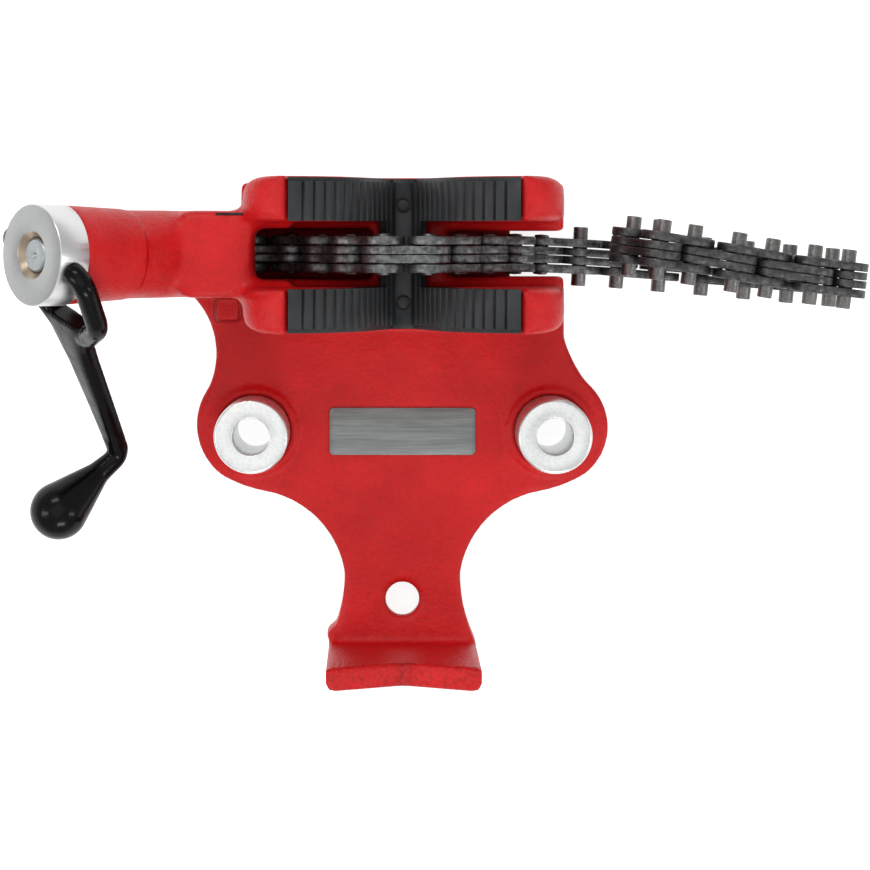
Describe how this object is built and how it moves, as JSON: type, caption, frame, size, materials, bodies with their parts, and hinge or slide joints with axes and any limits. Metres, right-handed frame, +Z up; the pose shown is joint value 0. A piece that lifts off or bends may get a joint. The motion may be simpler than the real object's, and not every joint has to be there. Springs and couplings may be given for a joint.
{
  "type": "chain pipe vise",
  "caption": "Bench chain vise for pipe: cast base with a toothed V jaw, a leaf chain over it, and a leaning screw with a folding crank that pulls the chain tight.",
  "frame": {"origin": "on the bench face, under the middle of the jaw", "axes": "+X across the pipe towards the loose end of the chain, +Y along the pipe away from the pipe rest, +Z up off the bench"},
  "size_m": [0.3702, 0.2144, 0.1317],
  "materials": {
    "red_paint": "gloss enamel on rough cast iron",
    "black_steel": "blackened, satin",
    "name_plate_steel": "brushed, scratched",
    "bright_steel": "machined",
    "machined_steel": "turned",
    "black_gloss": "gloss black enamel",
    "zinc_steel": "bright zinc",
    "chain_steel": "worn, oiled"
  },
  "bodies": {
    "casting": {"base_plate": "red_paint", "jaw_block": "red_paint", "screw_neck": "red_paint", "pipe_rest": "red_paint", "jaw": "black_steel", "jaw_pins": "black_steel", "bolt_bushings": "zinc_steel", "name_plate": "name_plate_steel"},
    "screw": {"screw": "bright_steel"},
    "crank_nut": {"crank_nut": "machined_steel"},
    "crank_handle": {"crank_handle": "black_gloss"},
    "chain_link_01": {"chain_link_01": "chain_steel"},
    "chain_link_02": {"chain_link_02": "chain_steel"},
    "chain_link_03": {"chain_link_03": "chain_steel"},
    "chain_link_04": {"chain_link_04": "chain_steel"},
    "chain_link_05": {"chain_link_05": "chain_steel"},
    "chain_link_06": {"chain_link_06": "chain_steel"},
    "chain_link_07": {"chain_link_07": "chain_steel"},
    "chain_link_08": {"chain_link_08": "chain_steel"},
    "chain_link_09": {"chain_link_09": "chain_steel"},
    "chain_link_10": {"chain_link_10": "chain_steel"},
    "chain_link_11": {"chain_link_11": "chain_steel"},
    "chain_link_12": {"chain_link_12": "chain_steel"},
    "chain_link_18": {"chain_link_18": "chain_steel"},
    "chain_link_19": {"chain_link_19": "chain_steel"},
    "coil_floor_links": {"coil_floor_links": "chain_steel"},
    "coil_top_links": {"coil_top_links": "chain_steel"}
  },
  "joints": [
    {"name": "nut_spin", "type": "hinge", "parent": "casting", "child": "crank_nut", "pos_m": [-0.1458, 0, 0.11032], "axis": [-0.7431, 0, 0.6691], "range_deg": [-10, 220]},
    {"name": "screw_slide", "type": "slide", "parent": "casting", "child": "screw", "axis": [-0.7431, 0, 0.6691], "range_m": [-0.0025, 0.0002]},
    {"name": "handle_swing", "type": "hinge", "parent": "crank_nut", "child": "crank_handle", "pos_m": [-0.1458, 0, 0.11032], "axis": [-0.6288, 0.342, -0.6983], "range_deg": [-6, 120]},
    {"name": "link_hinge_01", "type": "hinge", "parent": "casting", "child": "chain_link_01", "pos_m": [-0.08101, 0, 0.05198], "axis": [0, -1, 0], "range_deg": [0, 2]},
    {"name": "link_hinge_02", "type": "hinge", "parent": "chain_link_01", "child": "chain_link_02", "pos_m": [-0.06685, 0, 0.03923], "axis": [0, -1, 0], "range_deg": [0, 8]},
    {"name": "link_hinge_03", "type": "hinge", "parent": "chain_link_02", "child": "chain_link_03", "pos_m": [-0.04804, 0, 0.04222], "axis": [0, -1, 0], "range_deg": [0, 10]},
    {"name": "link_hinge_04", "type": "hinge", "parent": "chain_link_03", "child": "chain_link_04", "pos_m": [-0.03445, 0, 0.05557], "axis": [0, -1, 0], "range_deg": [0, 10]},
    {"name": "link_hinge_05", "type": "hinge", "parent": "chain_link_04", "child": "chain_link_05", "pos_m": [-0.0222, 0, 0.07017], "axis": [0, -1, 0], "range_deg": [0, 10]},
    {"name": "link_hinge_06", "type": "hinge", "parent": "chain_link_05", "child": "chain_link_06", "pos_m": [-0.0085, 0, 0.0834], "axis": [0, -1, 0], "range_deg": [0, 15]},
    {"name": "link_hinge_07", "type": "hinge", "parent": "chain_link_06", "child": "chain_link_07", "pos_m": [0.01055, 0, 0.0834], "axis": [0, -1, 0], "range_deg": [0, 15]},
    {"name": "link_hinge_08", "type": "hinge", "parent": "chain_link_07", "child": "chain_link_08", "pos_m": [0.02378, 0, 0.0697], "axis": [0, -1, 0], "range_deg": [0, 15]},
    {"name": "link_hinge_09", "type": "hinge", "parent": "chain_link_08", "child": "chain_link_09", "pos_m": [0.0359, 0, 0.055], "axis": [-0.0175, -0.9998, 0], "range_deg": [0, 15]},
    {"name": "link_hinge_10", "type": "hinge", "parent": "chain_link_09", "child": "chain_link_10", "pos_m": [0.0484, -0.00022, 0.04062], "axis": [-0.0175, -0.9998, 0], "range_deg": [0, 15]},
    {"name": "link_hinge_11", "type": "hinge", "parent": "chain_link_10", "child": "chain_link_11", "pos_m": [0.06063, -0.00065, 0.02603], "axis": [-0.0523, -0.9986, 0], "range_deg": [0, 15]},
    {"name": "link_hinge_12", "type": "hinge", "parent": "chain_link_11", "child": "chain_link_12", "pos_m": [0.07815, -0.00156, 0.01858], "axis": [-0.0523, -0.9986, 0], "range_deg": [0, 15]},
    {"name": "link_hinge_13", "type": "hinge", "parent": "chain_link_12", "child": "coil_floor_links", "pos_m": [0.09577, -0.0028, 0.01145], "axis": [-0.0854, -0.9963, 0], "range_deg": [0, 15]},
    {"name": "coil_hinge_18", "type": "hinge", "parent": "coil_floor_links", "child": "chain_link_18", "pos_m": [0.19056, -0.01092, 0.00946], "axis": [0.0854, 0.9963, 0], "range_deg": [0, 60]},
    {"name": "coil_hinge_19", "type": "hinge", "parent": "chain_link_18", "child": "chain_link_19", "pos_m": [0.19418, -0.0113, 0.02816], "axis": [0.1253, 0.9921, 0], "range_deg": [0, 60]},
    {"name": "coil_hinge_20", "type": "hinge", "parent": "chain_link_19", "child": "coil_top_links", "pos_m": [0.17781, -0.00923, 0.03768], "axis": [0.1253, 0.9921, 0], "range_deg": [0, 30]}
  ],
  "couplings": [
    {"joint": "screw_slide", "follows": "nut_spin", "m_per_rad": -0.00063662}
  ]
}
